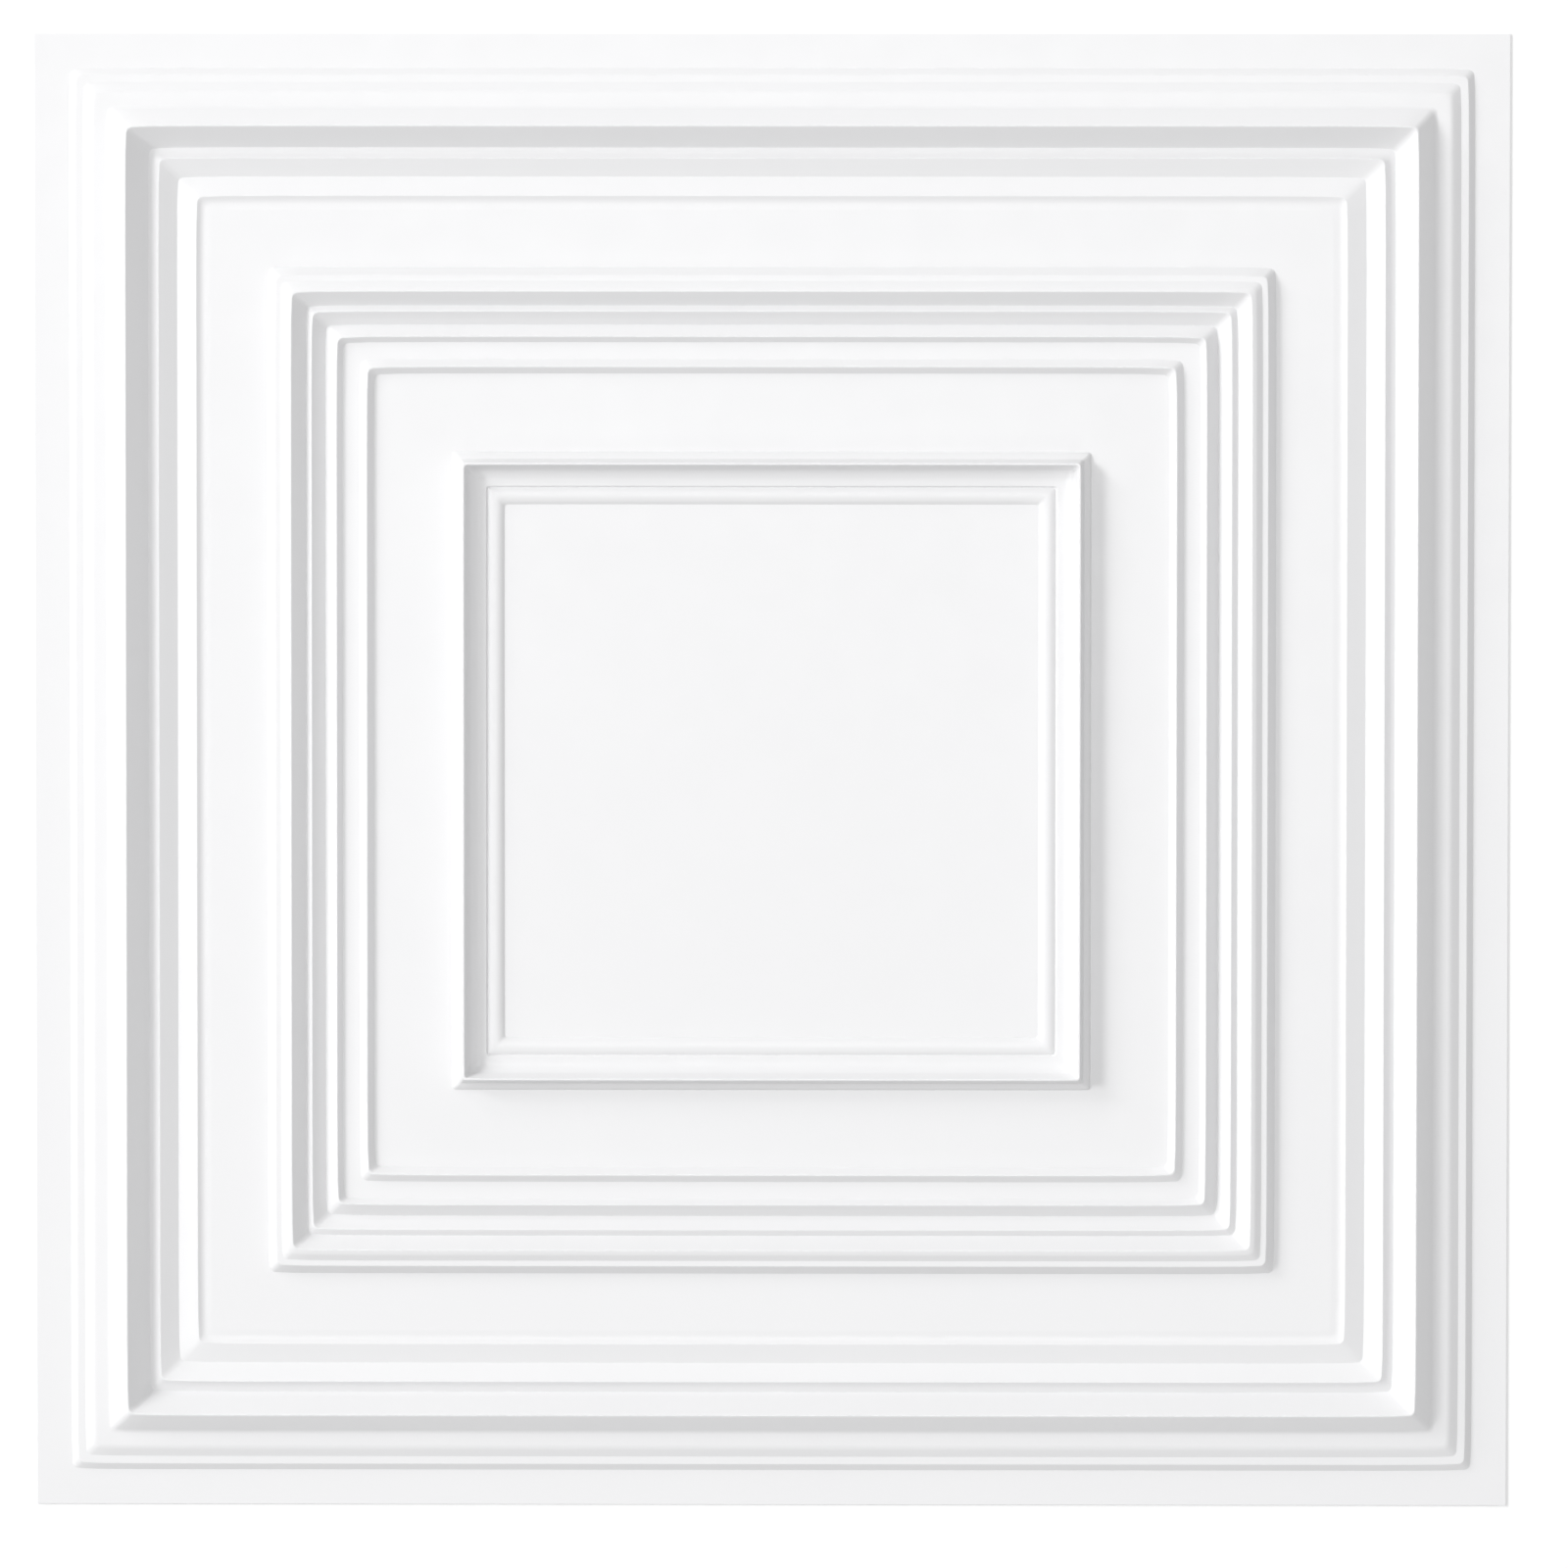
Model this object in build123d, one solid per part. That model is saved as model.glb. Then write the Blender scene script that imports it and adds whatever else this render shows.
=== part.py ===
"""A lay-in ceiling tile: one thin PVC sheet, vacuum formed into nested square mouldings.

Millimetres. The tile lies face up on its flange, and the origin is the middle of its underside.
The moulded section runs from the trimmed edge to the middle of the tile, the same on all four sides.
Runs and widths are measured in plan along that section, and heights above the flat flange.
"""
import os
from math import radians, tan

from build123d import *

# Sheet
tile_side = 603.25
sheet_thickness = 0.8

# Rounding left by the forming mould: the heavier ridges in section, and corners in plan
ridge_radius = 0.6
moulding_corner_radius = 2.2
frame_corner_radius = 1.2

# Flange that rests on the ceiling grid, with two small steps beside it
flange_width = 14.2
lip_run = 2.6
lip_height = 2.2
lip_tread = 3.1
shoulder_run = 3.8
shoulder_height = 4.3
shoulder_radius = 4.5
shoulder_tread = 6.5

# Outer moulding: a high crest, a gutter behind a fine arris, and a shallow valley
crest_run = 7.5
crest_height = 12.6
crest_foot_radius = 2.5
crest_fall_run = 8.8
gutter_height = 3.0
gutter_floor_run = 2.7
gutter_floor_height = 3.6
arris_run = 1.6
arris_height = 5.0
valley_fall_run = 7.6
valley_height = 1.6
valley_rise_run = 7.9
brim_height = 3.8
cove_run = 2.1
cove_height = 2.6
cove_radius = 5.0
field_rise_run = 3.5
field_width = 23.4
field_height = 2.8

# Middle moulding: a step with a quarter round, two sharp folds and a bead
step_run = 3.3
step_height = 7.2
step_tread = 2.3
round_run = 2.5
round_height = 8.9
round_radius = 4.0
round_cap_width = 1.9
round_cap_height = 9.5
round_fall_run = 5.7
groove_height = 3.6
nib_run = 2.4
nib_height = 5.6
nib_fall_run = 5.5
trough_height = 0.9
fold_run = 4.8
fold_height = 5.8
fold_fall_run = 2.3
bead_tread_width = 7.0
bead_tread_height = 2.9
bead_run = 3.0
bead_height = 6.1
bead_fall_run = 2.8
inner_field_width = 32.0
inner_field_height = 2.8

# Inner frame: a sharp upstand, a ledge and a half round that dies into the flat middle panel
frame_foot_run = 0.7
frame_foot_height = 4.0
frame_waist_run = 2.2
frame_waist_height = 6.1
frame_run = 1.5
frame_height = 11.2
frame_top_width = 0.8
frame_fall_run = 2.9
ledge_cove_radius = 5.0
ledge_width = 5.8
ledge_height = 4.0
quirk_run = 0.6
quirk_height = 3.55
torus_run = 3.9
torus_height = 6.0
torus_radius = 6.0
torus_fall_run = 3.1
panel_height = 2.8

# The section as steps from the edge inwards: run, height at its inner end, and radius of that corner
sharp = 0
moulding_steps = [
    (flange_width, 0, sharp),
    (lip_run, lip_height, sharp),
    (lip_tread, lip_height, sharp),
    (shoulder_run, shoulder_height, shoulder_radius),
    (shoulder_tread, shoulder_height, crest_foot_radius),
    (crest_run, crest_height, ridge_radius),
    (crest_fall_run, gutter_height, sharp),
    (gutter_floor_run, gutter_floor_height, sharp),
    (arris_run, arris_height, sharp),
    (valley_fall_run, valley_height, sharp),
    (valley_rise_run, brim_height, sharp),
    (cove_run, cove_height, cove_radius),
    (field_rise_run, field_height, sharp),
    (field_width, field_height, sharp),
    (step_run, step_height, sharp),
    (step_tread, step_height, sharp),
    (round_run, round_height, round_radius),
    (round_cap_width, round_cap_height, ridge_radius),
    (round_fall_run, groove_height, sharp),
    (nib_run, nib_height, sharp),
    (nib_fall_run, trough_height, sharp),
    (fold_run, fold_height, sharp),
    (fold_fall_run, bead_tread_height, sharp),
    (bead_tread_width, bead_tread_height, sharp),
    (bead_run, bead_height, sharp),
    (bead_fall_run, inner_field_height, sharp),
]
frame_steps = [
    (inner_field_width, inner_field_height, sharp),
    (frame_foot_run, frame_foot_height, sharp),
    (frame_waist_run, frame_waist_height, sharp),
    (frame_run, frame_height, sharp),
    (frame_top_width, frame_height, sharp),
    (frame_fall_run, ledge_height, ledge_cove_radius),
    (ledge_width, ledge_height, sharp),
    (quirk_run, quirk_height, sharp),
    (torus_run, torus_height, torus_radius),
    (torus_fall_run, panel_height, sharp),
]
section_steps = moulding_steps + frame_steps
field_middle = sum(step[0] for step in moulding_steps) + inner_field_width / 2


def section_line():
    """The formed sheet's lower line, from the tile's edge to its middle, with its rounds."""
    points = [Vector(0, 0)]
    for run, height, _ in section_steps:
        points.append(Vector(points[-1].X + run, height))
    points.append(Vector(tile_side / 2, panel_height))
    walls = [end - start for start, end in zip(points, points[1:])]
    half_turns = [tan(radians(wall.get_angle(beside)) / 2) for wall, beside in zip(walls, walls[1:])]
    reaches = [0, *(step[2] * half_turn for step, half_turn in zip(section_steps, half_turns)), 0]
    # Two neighbouring rounds share the wall between them, so a round is limited by what the wall can hold.
    wall_share = 0.96
    room = [
        min(1, wall_share * wall.length / max(before + after, wall_share * wall.length))
        for wall, before, after in zip(walls, reaches, reaches[1:])
    ]
    radii = [step[2] * min(before, after) for step, before, after in zip(section_steps, room, room[1:])]
    return FilletPolyline(*points, radius=radii)


def square_ring(point):
    """The square that one point of the section traces round the tile, with its small corner radius."""
    side = tile_side - 2 * point.X
    radius = moulding_corner_radius if point.X < field_middle else frame_corner_radius
    return (Pos(0, 0, point.Y) * RectangleRounded(side, side, radius)).wire()


def formed_strip(line):
    """The faces that one straight or round stretch of the section makes round the tile."""
    is_round = line.geom_type == GeomType.CIRCLE
    stations = (0, 0.5, 1) if is_round else (0, 1)
    rings = [square_ring(line @ station) for station in stations]
    return Shell.make_loft(rings, ruled=not is_round).faces()


flange_line, *relief_lines, panel_line = section_line().edges()
foot_ring = square_ring(relief_lines[0] @ 0)
panel_ring = square_ring(relief_lines[-1] @ 1)

# Relief: the formed back face, the same face raised by the sheet's thickness, and the joint to the flange
raise_sheet = Pos(0, 0, sheet_thickness)
back_faces = [face for line in relief_lines for face in formed_strip(line)] + [Face(panel_ring)]
front_faces = [raise_sheet * face for face in back_faces]
joint_faces = Shell.make_loft([foot_ring, raise_sheet * foot_ring], ruled=True).faces()
relief = Solid(Shell(back_faces + front_faces + joint_faces))

# Flange: the flat margin, trimmed square
flange = extrude(Rectangle(tile_side, tile_side) - Face(foot_ring), sheet_thickness)

ceiling_tile = flange + relief
ceiling_tile.label = "ceiling_tile"

os.makedirs("parts", exist_ok=True)
export_step(ceiling_tile, "parts/ceiling_tile.step")
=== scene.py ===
# %% [markdown]
# A lay-in ceiling tile is one thin sheet of white PVC. A flat sheet is warmed, drawn by vacuum over a mould
# and trimmed square, so its whole shape is one moulded section that runs round four sides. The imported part
# is the frame of this scene: it gives the real size in metres, and everything made here goes where it says.

# %% Load the frame and measure the tile
from math import cos, pi, radians, sin

import bpy
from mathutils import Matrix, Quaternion, Vector


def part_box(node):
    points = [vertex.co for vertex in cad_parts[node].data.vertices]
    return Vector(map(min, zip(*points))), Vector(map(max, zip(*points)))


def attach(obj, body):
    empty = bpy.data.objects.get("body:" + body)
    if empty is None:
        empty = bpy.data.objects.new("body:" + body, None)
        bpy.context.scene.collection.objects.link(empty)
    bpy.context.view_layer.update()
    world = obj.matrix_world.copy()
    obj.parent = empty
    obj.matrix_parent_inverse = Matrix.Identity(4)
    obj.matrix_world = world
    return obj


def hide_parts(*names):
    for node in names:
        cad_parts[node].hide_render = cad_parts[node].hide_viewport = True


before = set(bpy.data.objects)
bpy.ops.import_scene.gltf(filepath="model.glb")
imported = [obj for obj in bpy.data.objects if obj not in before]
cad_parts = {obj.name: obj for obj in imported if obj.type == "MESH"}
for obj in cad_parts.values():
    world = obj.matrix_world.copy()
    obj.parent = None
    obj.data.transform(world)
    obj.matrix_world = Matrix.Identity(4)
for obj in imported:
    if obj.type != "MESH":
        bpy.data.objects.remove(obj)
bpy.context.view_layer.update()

tile_low, tile_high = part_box("ceiling_tile")
tile_side = tile_high.x - tile_low.x
mm = 0.001
print("CAD tile, mm:", [round(side / mm, 2) for side in tile_high - tile_low])

# %% [markdown]
# The section is the tile's one drawing. Each member below is a straight stretch of the sheet's underside on
# the way from the trimmed edge to the middle: how far it runs inwards, the height at its inner end, and the
# radius on which the sheet turns there. A formed sheet never has a knife edge, because warm plastic bridges
# the mould's sharp lines, so even the crisp ridges get a round of a few tenths of a millimetre. Those
# rounds catch the light in thin bright lines.

# %% The moulded section, in millimetres
sheet_thickness = 0.8
panel_height = 2.8
# Name, run, height at its inner end, and radius of the turn there
moulding_members = [
    ("flange", 14.2, 0.0, 0.2),
    ("lip", 2.6, 2.2, 0.5),
    ("lip tread", 3.1, 2.2, 0.3),
    ("shoulder", 3.8, 4.3, 4.5),
    ("shoulder tread", 6.5, 4.3, 2.5),
    ("crest", 7.5, 12.6, 0.6),
    ("crest fall", 8.8, 2.6, 0.2),
    ("gutter floor", 2.7, 3.1, 5.0),
    ("arris", 1.6, 5.0, 0.3),
    ("valley fall", 7.6, 1.6, 0.3),
    ("brim", 7.9, 3.8, 0.4),
    ("cove", 2.1, 2.6, 5.0),
    ("field rise", 3.5, 2.8, 6.0),
    ("field", 23.4, 2.8, 0.2),
    ("step", 3.3, 7.2, 0.5),
    ("step tread", 2.3, 7.2, 0.3),
    ("round", 2.5, 8.9, 4.0),
    ("round cap", 1.9, 9.5, 0.6),
    ("round fall", 5.7, 3.6, 0.2),
    ("nib", 2.4, 5.6, 0.4),
    ("nib fall", 5.5, 0.9, 0.3),
    ("fold", 4.8, 5.8, 0.4),
    ("fold fall", 2.3, 2.9, 0.3),
    ("bead tread", 7.0, 2.9, 0.3),
    ("bead", 3.0, 6.1, 0.6),
    ("bead fall", 2.8, 2.8, 0.3),
]
frame_members = [
    ("inner field", 32.0, 2.8, 0.1),
    ("frame foot", 0.7, 4.0, 0.3),
    ("frame waist", 2.2, 6.1, 0.2),
    ("frame", 1.5, 11.2, 0.3),
    ("frame top", 0.8, 11.2, 0.3),
    ("frame fall", 2.9, 4.0, 5.0),
    ("ledge", 5.8, 4.0, 0.2),
    ("quirk", 0.6, 3.2, 0.1),
    ("torus", 3.9, 6.0, 6.0),
    ("torus fall", 3.1, 2.8, 0.2),
]
print("Members from edge to panel:", len(moulding_members) + len(frame_members))

# %% [markdown]
# In plan every moulding turns the tile's corner on a small radius, a little tighter on the inner frame.
# Warm plastic also pulls straight lines inwards over the last centimetres before a corner, by half a
# millimetre or so, and that softens the mitres. Only the trimmed outline is cut square. The section goes to
# Blender as a bare line of points. Three numbers ride on each point as attributes, the round in section,
# the round in plan and the pull at the corner, because attributes are what a node tree can read.

# %% The section as a line with attributes
moulding_corner_radius = 2.0
moulding_corner_pull = 0.6
frame_corner_radius = 1.2
frame_corner_pull = 0.1

section_points = [(0.0, 0.0, 0.0)]
section_rounds = [0.0]
plan_rounds = [0.0]
corner_pulls = [0.0]
reach = 0.0
for members, plan_round, corner_pull in (
    (moulding_members, moulding_corner_radius, moulding_corner_pull),
    (frame_members, frame_corner_radius, frame_corner_pull),
):
    for _, run, height, section_round in members:
        reach += run
        section_points.append((reach * mm, 0.0, height * mm))
        section_rounds.append(section_round * mm)
        plan_rounds.append(plan_round * mm)
        corner_pulls.append(corner_pull * mm)
section_points.append((tile_side / 2, 0.0, panel_height * mm))
section_rounds.append(0.0)
plan_rounds.append(0.0)
corner_pulls.append(0.0)

section_mesh = bpy.data.meshes.new("tile_sheet")
section_edges = [(start, start + 1) for start in range(len(section_points) - 1)]
section_mesh.from_pydata(section_points, section_edges, [])
section_numbers = {"section_round": section_rounds, "plan_round": plan_rounds, "corner_pull": corner_pulls}
for attribute_name, values in section_numbers.items():
    attribute = section_mesh.attributes.new(attribute_name, "FLOAT", "POINT")
    attribute.data.foreach_set("value", values)
tile_sheet = bpy.data.objects.new("tile_sheet", section_mesh)
bpy.context.scene.collection.objects.link(tile_sheet)
print("Panel starts, mm from the edge:", round(reach, 2))

# %% [markdown]
# The sheet follows a rule, so Geometry Nodes make it: take the section, round its corners, and let each of
# its points trace a square with rounded corners. Sweeping a curve round a path would pinch or shear at
# tight corners, where the section is far wider than the corner's radius. A grid does it exactly: one side
# of the grid counts the section's points, the other counts stations round the square, and one Set Position
# node moves every point to its place. The next cells build that tree, and the helpers here only save
# typing.

# %% The node tree and its inputs
tree = bpy.data.node_groups.new("formed_sheet", "GeometryNodeTree")
tree.is_modifier = True


def tree_input(name, kind, low=None):
    """A named input of the tree, shown on the modifier."""
    socket = tree.interface.new_socket(name, in_out="INPUT", socket_type=kind)
    if low is not None:
        socket.min_value = low
    return socket.identifier


tree_input("Section", "NodeSocketGeometry")
side_key = tree_input("Tile Side", "NodeSocketFloat", 0.0)
thickness_key = tree_input("Sheet Thickness", "NodeSocketFloat", 0.0)
round_steps_key = tree_input("Steps per Round", "NodeSocketInt", 1)
corner_steps_key = tree_input("Steps per Corner", "NodeSocketInt", 1)
longest_step_key = tree_input("Longest Step", "NodeSocketFloat", 0.0001)
side_steps_key = tree_input("Steps beside Corner", "NodeSocketInt", 1)
corner_margin_key = tree_input("Corner Margin", "NodeSocketFloat", 0.0)
pull_reach_key = tree_input("Pull Reach", "NodeSocketFloat", 0.0001)
material_key = tree_input("Material", "NodeSocketMaterial")
tree.interface.new_socket("Sheet", in_out="OUTPUT", socket_type="NodeSocketGeometry")
given = tree.nodes.new("NodeGroupInput").outputs


def feed(socket, source):
    """Links a socket to another node's output, or sets it to a plain value."""
    if isinstance(source, bpy.types.NodeSocket):
        tree.links.new(source, socket)
    else:
        socket.default_value = source


def add(kind, settings=None, **sockets):
    """Adds a node, sets its options, and feeds its inputs by name, with spaces written as underscores."""
    node = tree.nodes.new(kind)
    for key, value in (settings or {}).items():
        setattr(node, key, value)
    for key, source in sockets.items():
        feed(node.inputs[key.replace("_", " ")], source)
    return node


def calculate(operation, *sources):
    """A Math node's result."""
    node = add("ShaderNodeMath", {"operation": operation})
    for socket, source in zip(node.inputs, sources):
        feed(socket, source)
    return node.outputs[0]


def count(operation, *sources):
    """An Integer Math node's result."""
    node = add("FunctionNodeIntegerMath", {"operation": operation})
    for socket, source in zip(node.inputs, sources):
        feed(socket, source)
    return node.outputs[0]


def attribute_of(name):
    """A number that rides on the section's points."""
    return add("GeometryNodeInputNamedAttribute", {"data_type": "FLOAT"}, Name=name).outputs["Attribute"]


print("Inputs of the tree:", [socket.name for socket in given if socket.name])

# %% [markdown]
# First the line. Fillet Curve rounds each corner by the radius that rides on it. Long flats are then cut
# into short steps. They stay flat, but smooth shading blends normals across each face, and with short faces
# beside every round that blend stays within a millimetre or so and the wide flats stay truly flat.

# %% Nodes: the rounded section
bare_line = add("GeometryNodeMeshToCurve", Mesh=given["Section"]).outputs["Curve"]
fillet = add("GeometryNodeFilletCurve", {"mode": "POLY"}, Curve=bare_line, Limit_Radius=True)
feed(fillet.inputs["Count"], given["Steps per Round"])
feed(fillet.inputs["Radius"], attribute_of("section_round"))

along = add("GeometryNodeSplineParameter")
next_point = count("ADD", along.outputs["Index"], 1)
next_length = add(
    "GeometryNodeFieldAtIndex",
    {"data_type": "FLOAT", "domain": "POINT"},
    Value=along.outputs["Length"],
    Index=next_point,
).outputs[0]
stretch = calculate("SUBTRACT", next_length, along.outputs["Length"])
steps = calculate("CEIL", calculate("DIVIDE", stretch, given["Longest Step"]))
cuts = calculate("MAXIMUM", calculate("SUBTRACT", steps, 1.0), 0.0)
section_line = add("GeometryNodeSubdivideCurve", Curve=fillet.outputs["Curve"], Cuts=cuts).outputs["Curve"]
section_size = add("GeometryNodeAttributeDomainSize", {"component": "CURVE"}, Geometry=section_line)
print("Nodes so far:", len(tree.nodes))

# %% [markdown]
# Then the square. Each of its four corners has the stations of a quarter round, and a few more on the
# straights beside it, ever farther apart. The pull bends the lines between them, and smooth shading lets
# the corner's turn fade out along the first stretch, so the mitres stay as soft as those of a formed sheet.
# A grid point's index says which section point it is and which station, by whole-number division, and the
# quarter that the station is in says how far to turn it.

# %% Nodes: stations round the square
last_arc_station = count("ADD", given["Steps beside Corner"], given["Steps per Corner"])
corner_stations = count("ADD", count("ADD", last_arc_station, given["Steps beside Corner"]), 1)
corners_of_square = 4
ring_stations = count("ADD", count("MULTIPLY", corner_stations, corners_of_square), 1)
grid = add(
    "GeometryNodeMeshGrid",
    Vertices_X=section_size.outputs["Point Count"],
    Vertices_Y=ring_stations,
).outputs["Mesh"]

index = add("GeometryNodeInputIndex").outputs["Index"]
section_index = count("DIVIDE_FLOOR", index, ring_stations)
station = count("FLOORED_MODULO", index, ring_stations)
quarter = count("DIVIDE_FLOOR", station, corner_stations)
corner_station = count("FLOORED_MODULO", station, corner_stations)
turn = add(
    "ShaderNodeMapRange",
    {"clamp": True},
    Value=corner_station,
    From_Min=given["Steps beside Corner"],
    From_Max=last_arc_station,
    To_Min=0.0,
    To_Max=pi / 2,
).outputs["Result"]
steps_before = count("MAXIMUM", count("SUBTRACT", given["Steps beside Corner"], corner_station), 0)
steps_after = count("MAXIMUM", count("SUBTRACT", corner_station, last_arc_station), 0)


def on_section(data_type, source):
    """What the section's line holds at the grid point's own section index."""
    settings = {"data_type": data_type, "domain": "POINT"}
    node = add("GeometryNodeSampleIndex", settings, Geometry=section_line, Index=section_index)
    feed(node.inputs["Value"], source)
    return node.outputs["Value"]


section_point = on_section("FLOAT_VECTOR", add("GeometryNodeInputPosition").outputs["Position"])
section_place = add("ShaderNodeSeparateXYZ", Vector=section_point).outputs
plan_round_here = on_section("FLOAT", attribute_of("plan_round"))
corner_pull_here = on_section("FLOAT", attribute_of("corner_pull"))
print("Nodes so far:", len(tree.nodes))

# %% [markdown]
# A corner's quarter round is drawn once, in the first quarter, from its centre, its radius and the turn.
# Each line is then pulled inwards by an amount that dies away with the distance from the corner, and the
# whole is turned about the upright axis into its own quarter. Where the radius is nothing, as at the
# trimmed outline and the middle of the panel, points fall together, and Merge by Distance makes one of
# them, so the shell has no open seam.

# %% Nodes: every grid point to its place
half_side = calculate("MULTIPLY", given["Tile Side"], 0.5)
square_corner = calculate("SUBTRACT", half_side, section_place["X"])
arc_centre = calculate("SUBTRACT", square_corner, plan_round_here)
room_on_side = calculate("SUBTRACT", arc_centre, corner_pull_here)


def ring_coordinate(turn_function, side_steps):
    """Where a station is along one axis: on the quarter round, or beside it, up to the middle of the side."""
    on_round = calculate("MULTIPLY_ADD", plan_round_here, calculate(turn_function, turn), arc_centre)
    steps_squared = calculate("MULTIPLY", side_steps, side_steps)
    margin = calculate("MULTIPLY", given["Corner Margin"], steps_squared)
    return calculate("SUBTRACT", on_round, calculate("MINIMUM", margin, room_on_side))


def pulled(coordinate, along_side):
    """A coordinate pulled inwards, less and less with the distance from the corner along the side."""
    from_corner = calculate("SUBTRACT", along_side, square_corner)
    fading = calculate("EXPONENT", calculate("DIVIDE", from_corner, given["Pull Reach"]))
    return calculate("SUBTRACT", coordinate, calculate("MULTIPLY", corner_pull_here, fading))


corner_x = ring_coordinate("COSINE", steps_after)
corner_y = ring_coordinate("SINE", steps_before)
place = add(
    "ShaderNodeCombineXYZ",
    X=pulled(corner_x, corner_y),
    Y=pulled(corner_y, corner_x),
    Z=section_place["Z"],
).outputs["Vector"]
turned_place = add(
    "ShaderNodeVectorRotate",
    {"rotation_type": "Z_AXIS"},
    Vector=place,
    Angle=calculate("MULTIPLY", quarter, pi / 2),
).outputs["Vector"]
placed = add("GeometryNodeSetPosition", Geometry=grid, Position=turned_place).outputs["Geometry"]
merge_distance = 0.002 * mm
back_face = add("GeometryNodeMergeByDistance", Geometry=placed, Distance=merge_distance).outputs["Geometry"]
print("Nodes so far:", len(tree.nodes))

# %% [markdown]
# A vacuum draws the sheet straight down, so steep walls stretch and thin while flats keep their thickness.
# Raising the face straight up gives just that. Solidify would keep every wall equally thick, which a formed
# sheet isn't. The back face already points down. Its flipped copy is extruded, and that gives the front and
# the trimmed edge in one go. The direction comes from a node of its own, because Extrude Mesh follows the
# normals when its Offset has no link. Edges that turn sharply, here only those of the trimmed outline, stay
# crisp, and all the rest is shaded smooth.

# %% Nodes: thickness, shading and material
sharp_turn = radians(40)
straight_up = add("ShaderNodeCombineXYZ", Z=1.0).outputs["Vector"]
front_and_edge = add(
    "GeometryNodeExtrudeMesh",
    {"mode": "FACES"},
    Mesh=add("GeometryNodeFlipFaces", Mesh=back_face).outputs["Mesh"],
    Offset=straight_up,
    Offset_Scale=given["Sheet Thickness"],
    Individual=False,
).outputs["Mesh"]
both_faces = add("GeometryNodeJoinGeometry")
tree.links.new(back_face, both_faces.inputs["Geometry"])
tree.links.new(front_and_edge, both_faces.inputs["Geometry"])
shell = add(
    "GeometryNodeMergeByDistance",
    Geometry=both_faces.outputs["Geometry"],
    Distance=merge_distance,
).outputs["Geometry"]
smooth = add(
    "GeometryNodeSetShadeSmooth",
    {"domain": "FACE"},
    Geometry=shell,
    Shade_Smooth=True,
).outputs["Geometry"]
edge_angle = add("GeometryNodeInputMeshEdgeAngle").outputs["Unsigned Angle"]
crisp = add(
    "GeometryNodeSetShadeSmooth",
    {"domain": "EDGE"},
    Geometry=smooth,
    Selection=calculate("GREATER_THAN", edge_angle, sharp_turn),
    Shade_Smooth=False,
).outputs["Geometry"]
realized = add("GeometryNodeRealizeInstances", Geometry=crisp).outputs["Geometry"]
finished = add("GeometryNodeSetMaterial", Geometry=realized, Material=given["Material"]).outputs["Geometry"]
tree.links.new(finished, tree.nodes.new("NodeGroupOutput").inputs["Sheet"])
print("Nodes in the tree:", len(tree.nodes))

# %% [markdown]
# The finish is plain satin PVC, white right through, so nothing is painted on. Its life is in small things:
# a fine grain that the sheet's calender rollers leave, and slow waves of a few hundredths of a millimetre
# where the sheet cooled unevenly. Noise on Object coordinates gives each its true size in metres. Only what
# varies over the surface is linked. The plain numbers, such as PVC's index of refraction, sit on the
# shader's own sockets.

# %% The white PVC
refraction_index = 1.53
darker_white = (0.734, 0.734, 0.742, 1.0)
lighter_white = (0.746, 0.746, 0.752, 1.0)
shade_patch_size = 60 * mm
glossiest = 0.42
dullest = 0.50
gloss_patch_size = 14 * mm
wave_size = 55 * mm
wave_depth = 0.10 * mm
grain_size = 1.1 * mm
grain_depth = 0.016 * mm
usual_noise = (0.3, 0.7)

white_pvc = bpy.data.materials.new("satin_white_pvc")
white_pvc.use_nodes = True
pvc_nodes = white_pvc.node_tree.nodes
pvc_links = white_pvc.node_tree.links
pvc = pvc_nodes["Principled BSDF"]
pvc.inputs["IOR"].default_value = refraction_index
object_place = pvc_nodes.new("ShaderNodeTexCoord").outputs["Object"]


def pvc_noise(size, detail):
    """Noise with features of the given size in metres, from 0 to 1."""
    noise = pvc_nodes.new("ShaderNodeTexNoise")
    noise.inputs["Scale"].default_value = 1 / size
    noise.inputs["Detail"].default_value = detail
    pvc_links.new(object_place, noise.inputs["Vector"])
    return noise.outputs["Fac"]


def between(low, high, source):
    """Maps the range that noise usually covers onto a range of values."""
    node = pvc_nodes.new("ShaderNodeMapRange")
    node.inputs["From Min"].default_value = usual_noise[0]
    node.inputs["From Max"].default_value = usual_noise[1]
    node.inputs["To Min"].default_value = low
    node.inputs["To Max"].default_value = high
    pvc_links.new(source, node.inputs["Value"])
    return node.outputs["Result"]


shade_mix = pvc_nodes.new("ShaderNodeMix")
shade_mix.data_type = "RGBA"
shade_mix.inputs["A"].default_value = darker_white
shade_mix.inputs["B"].default_value = lighter_white
pvc_links.new(pvc_noise(shade_patch_size, detail=2.0), shade_mix.inputs["Factor"])
pvc_links.new(shade_mix.outputs["Result"], pvc.inputs["Base Color"])
gloss_noise = pvc_noise(gloss_patch_size, detail=3.0)
pvc_links.new(between(glossiest, dullest, gloss_noise), pvc.inputs["Roughness"])


def pvc_bump(source, depth, under=None):
    """A bump of the given depth in metres, on top of another."""
    bump = pvc_nodes.new("ShaderNodeBump")
    bump.inputs["Strength"].default_value = 1.0
    bump.inputs["Distance"].default_value = depth
    pvc_links.new(source, bump.inputs["Height"])
    if under is not None:
        pvc_links.new(under, bump.inputs["Normal"])
    return bump.outputs["Normal"]


cooling_waves = pvc_bump(pvc_noise(wave_size, detail=1.0), wave_depth)
roller_grain = pvc_bump(pvc_noise(grain_size, detail=2.0), grain_depth, cooling_waves)
pvc_links.new(roller_grain, pvc.inputs["Normal"])
print("Nodes in the finish:", len(pvc_nodes))

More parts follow.
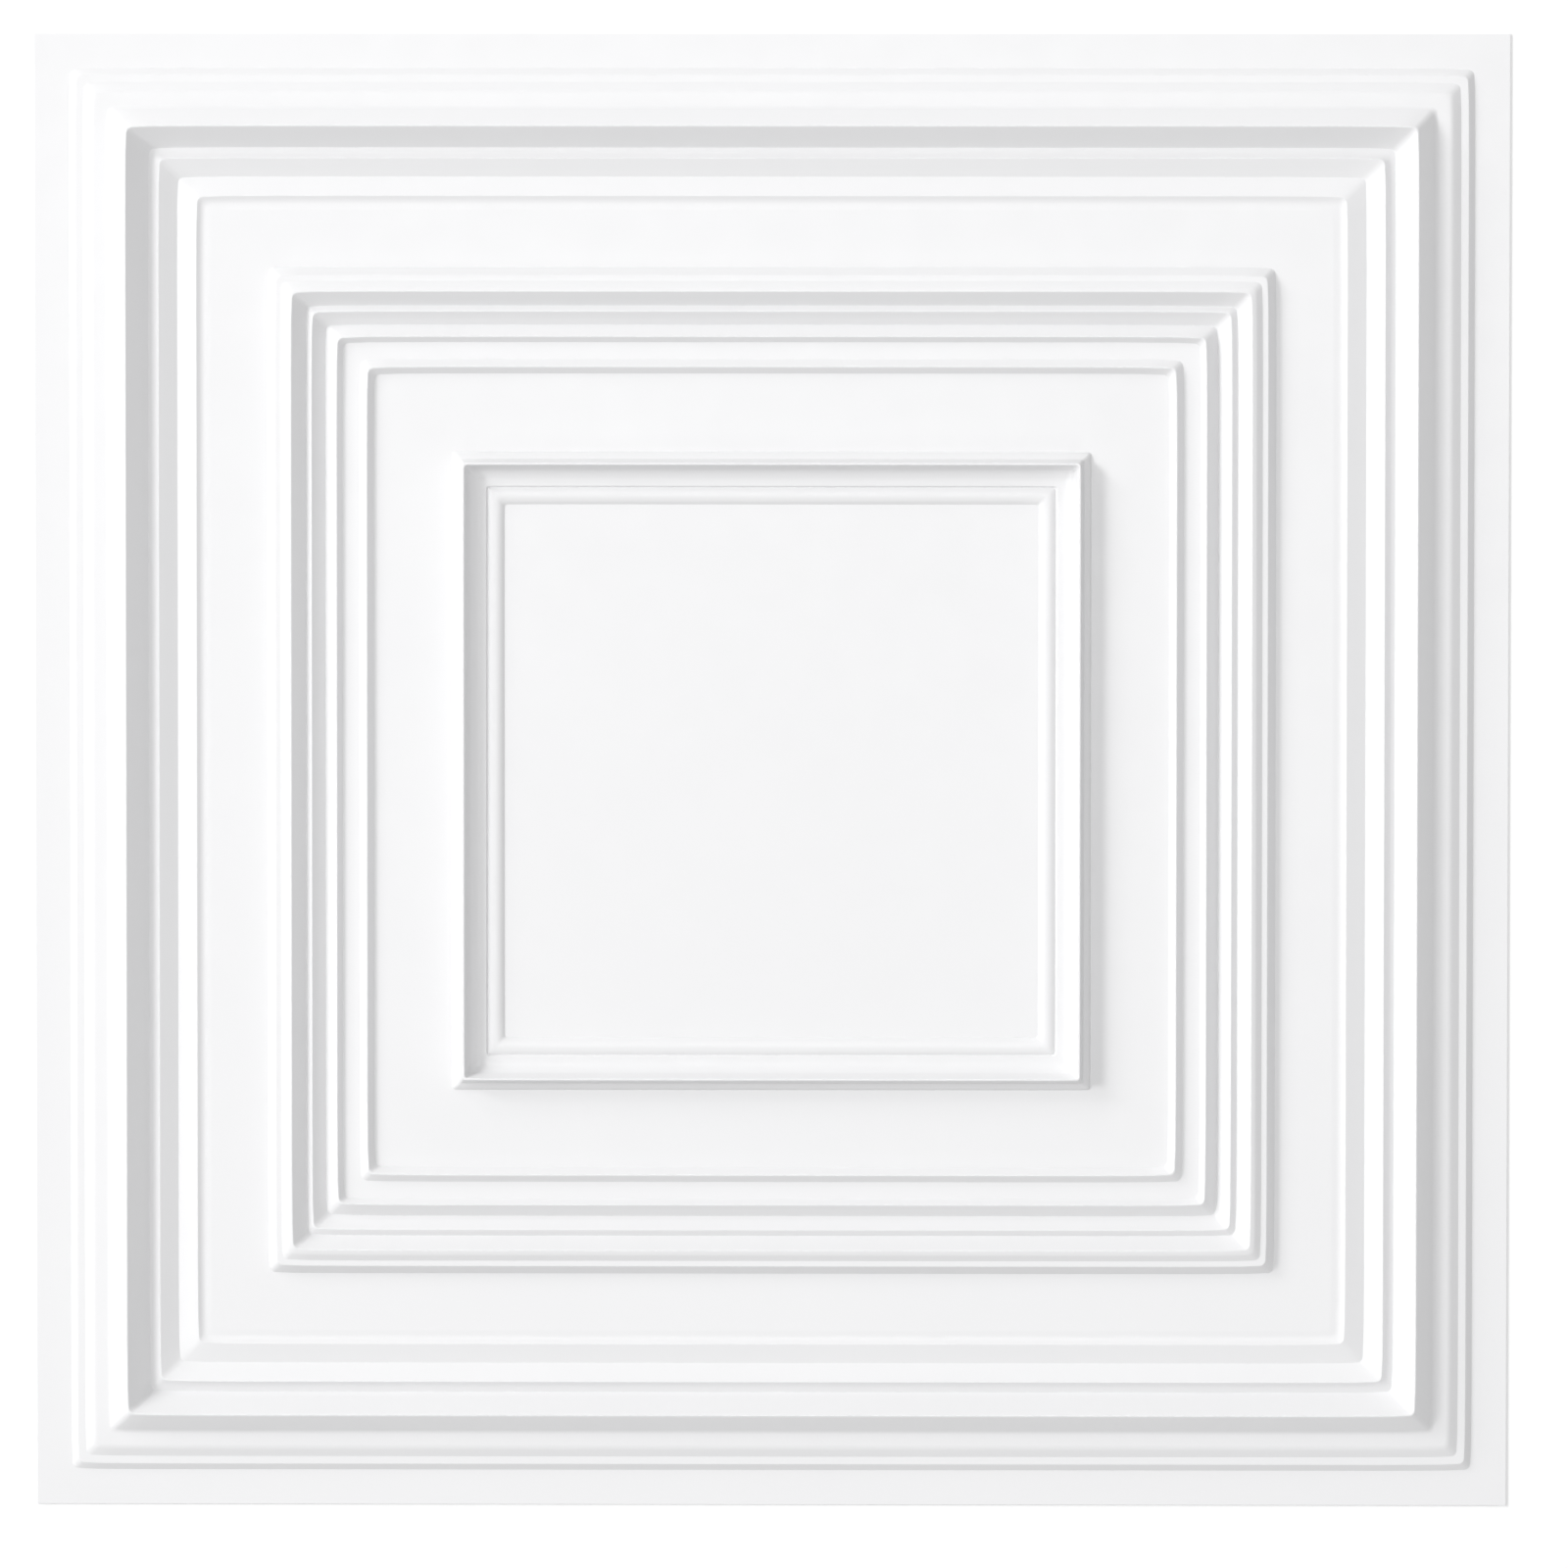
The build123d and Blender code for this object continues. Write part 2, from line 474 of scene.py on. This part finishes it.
# %% [markdown]
# Now the tree gets its sizes. A modifier's inputs are set by their identifiers, before the object is first
# evaluated. The evaluated result is then kept as a plain mesh and the modifier goes, so that what is drawn
# and measured is one ordinary mesh. It replaces the CAD node, which stays behind for collision.

# %% Make the sheet
forming = tile_sheet.modifiers.new("forming", "NODES")
forming.node_group = tree
forming[side_key] = tile_side
forming[thickness_key] = sheet_thickness * mm
forming[round_steps_key] = 6
forming[corner_steps_key] = 3
forming[longest_step_key] = 1.2 * mm
forming[side_steps_key] = 2
forming[corner_margin_key] = 8.0 * mm
forming[pull_reach_key] = 7.0 * mm
forming[material_key] = white_pvc

evaluated_sheet = tile_sheet.evaluated_get(bpy.context.evaluated_depsgraph_get())
formed_mesh = bpy.data.meshes.new_from_object(evaluated_sheet)
tile_sheet.modifiers.remove(forming)
formed_mesh.name = "tile_sheet"
formed_mesh.materials.clear()
formed_mesh.materials.append(white_pvc)
tile_sheet.data = formed_mesh
bpy.data.meshes.remove(section_mesh)

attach(tile_sheet, "root")
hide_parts("ceiling_tile")
formed_mesh.calc_loop_triangles()
print("Sheet triangles:", len(formed_mesh.loop_triangles), "finish:", formed_mesh.materials[0].name)

# %% [markdown]
# The tile lies on a plain white floor, wide enough that the picture never shows where it ends. An even
# matte white is enough, since the floor only has to carry the tile's soft contact shadow.

# %% The floor
floor_reach = 6.0
floor_shade = (0.90, 0.90, 0.90, 1.0)
floor_mesh = bpy.data.meshes.new("floor")
floor_corners = [(x, y, 0.0) for x, y in ((-1, -1), (1, -1), (1, 1), (-1, 1))]
floor_mesh.from_pydata([Vector(corner) * floor_reach for corner in floor_corners], [], [(0, 1, 2, 3)])
floor = bpy.data.objects.new("floor", floor_mesh)
bpy.context.scene.collection.objects.link(floor)
floor_white = bpy.data.materials.new("floor_white")
floor_white.use_nodes = True
floor_shader = floor_white.node_tree.nodes["Principled BSDF"]
floor_shader.inputs["Base Color"].default_value = floor_shade
floor_shader.inputs["Roughness"].default_value = 1.0
floor_shader.inputs["Specular IOR Level"].default_value = 0.0
floor_mesh.materials.append(floor_white)
print("Floor side, m:", 2 * floor_reach)

# %% [markdown]
# A white relief shows only by its shading, so the light is the picture. A row of soft lights stands low at
# the upper left, like one long window that climbs towards the left: it fills the walls that face it and
# throws the ridges' shadows down to the right. A light overhead, a little towards the top and nearer than
# the rest, brightens flats against walls and lets the tile darken slightly towards the bottom. A weak one
# beyond the bottom edge keeps shadows open, and an even sky lifts everything. The Standard view keeps white
# white, where a film-like view would grey it.

# %% Light
aim = Vector((0.0, 0.0, 0.0))
sky_strength = 0.52
# Azimuth and elevation in degrees, and power in watts
window_row = [(125, 22, 67), (150, 22, 151), (150, 30, 85), (165, 38, 270), (180, 36, 39)]


def soft_light(name, azimuth, elevation, distance, width, power):
    """A round soft light that faces the tile, from a direction given in degrees."""
    lamp = bpy.data.lights.new(name, "AREA")
    lamp.shape = "DISK"
    lamp.size = width
    lamp.energy = power
    stand = bpy.data.objects.new(name, lamp)
    level = distance * cos(radians(elevation))
    height = distance * sin(radians(elevation))
    stand.location = (level * cos(radians(azimuth)), level * sin(radians(azimuth)), height)
    stand.rotation_euler = (aim - stand.location).to_track_quat("-Z", "Y").to_euler()
    stand.visible_camera = False
    bpy.context.scene.collection.objects.link(stand)
    return stand


lights = [
    soft_light(f"window_light_{number}", azimuth, elevation, distance=9.0, width=1.9, power=power)
    for number, (azimuth, elevation, power) in enumerate(window_row, start=1)
]
lights.append(soft_light("overhead_light", azimuth=90, elevation=80, distance=3.0, width=1.4, power=23.2))
lights.append(soft_light("fill_light", azimuth=270, elevation=40, distance=9.0, width=3.2, power=67))

sky = bpy.data.worlds.new("sky")
sky.use_nodes = True
sky.node_tree.nodes["Background"].inputs["Color"].default_value = (1.0, 1.0, 1.0, 1.0)
sky.node_tree.nodes["Background"].inputs["Strength"].default_value = sky_strength
bpy.context.scene.world = sky
bpy.context.scene.view_settings.view_transform = "Standard"
print("Lights, distance in m:", [(stand.name, round(stand.location.length, 2)) for stand in lights])

# %% [markdown]
# The camera looks down on the face from five metres with a long lens, so the square stays square and the
# raised mouldings hardly lean outwards. Its small tilt is the photograph's own.

# %% Camera
camera = bpy.data.cameras.new("camera")
camera.sensor_width = 36.0
camera.lens = 279.92
viewer = bpy.data.objects.new("camera", camera)
viewer.location = (0.0446, 0.2208, 4.9917)
tilt = Vector((radians(-2.594), radians(0.454), radians(0.040)))
viewer.rotation_mode = "QUATERNION"
viewer.rotation_quaternion = Quaternion(tilt.normalized(), tilt.length)
bpy.context.scene.collection.objects.link(viewer)
bpy.context.scene.camera = viewer
print("Camera height, m:", round(viewer.location.z, 3))
